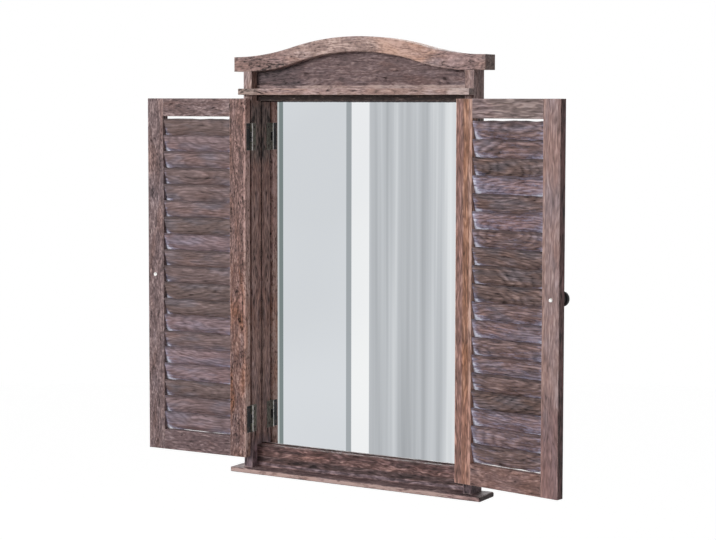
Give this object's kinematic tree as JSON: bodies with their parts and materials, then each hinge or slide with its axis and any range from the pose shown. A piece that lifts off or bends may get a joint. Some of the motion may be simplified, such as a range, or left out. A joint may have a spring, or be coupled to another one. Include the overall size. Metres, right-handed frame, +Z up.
{
  "type": "shutter mirror",
  "caption": "Wall mirror in a timber window frame with an arched crown, a sill and a pair of hinged louvred shutters that close over the glass.",
  "frame": {"origin": "middle of the lower rear edge of the sill, on the wall plane", "axes": "+X to the right seen from the front, +Y into the wall, +Z up"},
  "size_m": [0.7646, 0.0888, 0.71],
  "materials": {
    "frame_wood": "torched and brushed, brown-grey, worn light along the edges",
    "panel_wood": "torched and brushed, darker grey-brown",
    "sill_wood": "torched and brushed, brown-grey",
    "shutter_wood": "torched and brushed, brown-grey with a warm cast",
    "slat_wood": "torched and brushed, dark grey-brown with a pale wash in the corners",
    "mirror": "silvered float glass",
    "hardboard": "plain hardboard",
    "beech": "plain turned dowel",
    "zinc_steel": "bright zinc plate",
    "black_steel": "black lacquered steel",
    "black_knob": "black lacquer"
  },
  "bodies": {
    "frame": {"left_post": "frame_wood", "right_post": "frame_wood", "crown": "frame_wood", "pediment_panel": "panel_wood", "head_rail": "panel_wood", "ledge": "frame_wood", "bottom_rail": "panel_wood", "sill": "sill_wood", "mirror_glass": "mirror", "back_board": "hardboard", "frame_dowels": "beech", "crown_pins": "zinc_steel", "sill_screws": "zinc_steel", "board_pins": "zinc_steel", "left_hanger_plate": "zinc_steel", "right_hanger_plate": "zinc_steel", "hanger_screws": "zinc_steel", "left_upper_frame_leaf": "black_steel", "left_upper_hinge_pin": "zinc_steel", "left_lower_frame_leaf": "black_steel", "left_lower_hinge_pin": "zinc_steel", "right_upper_frame_leaf": "black_steel", "right_upper_hinge_pin": "zinc_steel", "right_lower_frame_leaf": "black_steel", "right_lower_hinge_pin": "zinc_steel", "left_frame_leaf_screws": "zinc_steel", "right_frame_leaf_screws": "zinc_steel"},
    "left_shutter": {"left_hinge_stile": "shutter_wood", "left_lock_stile": "shutter_wood", "left_top_rail": "shutter_wood", "left_lower_rail": "shutter_wood", "left_slats": "slat_wood", "left_knob": "black_knob", "left_knob_screw": "zinc_steel", "left_upper_shutter_leaf": "black_steel", "left_lower_shutter_leaf": "black_steel", "left_shutter_leaf_screws": "zinc_steel"},
    "right_shutter": {"right_hinge_stile": "shutter_wood", "right_lock_stile": "shutter_wood", "right_top_rail": "shutter_wood", "right_lower_rail": "shutter_wood", "right_slats": "slat_wood", "right_knob": "black_knob", "right_knob_screw": "zinc_steel", "right_upper_shutter_leaf": "black_steel", "right_lower_shutter_leaf": "black_steel", "right_shutter_leaf_screws": "zinc_steel"}
  },
  "joints": [
    {"name": "left_shutter_swing", "type": "hinge", "parent": "frame", "child": "left_shutter", "pos_m": [-0.1928, -0.0372, 0.32], "axis": [0, 0, 1], "range_deg": [-7, 178]},
    {"name": "right_shutter_swing", "type": "hinge", "parent": "frame", "child": "right_shutter", "pos_m": [0.1928, -0.0372, 0.32], "axis": [0, 0, -1], "range_deg": [-15.5, 169.5]}
  ]
}
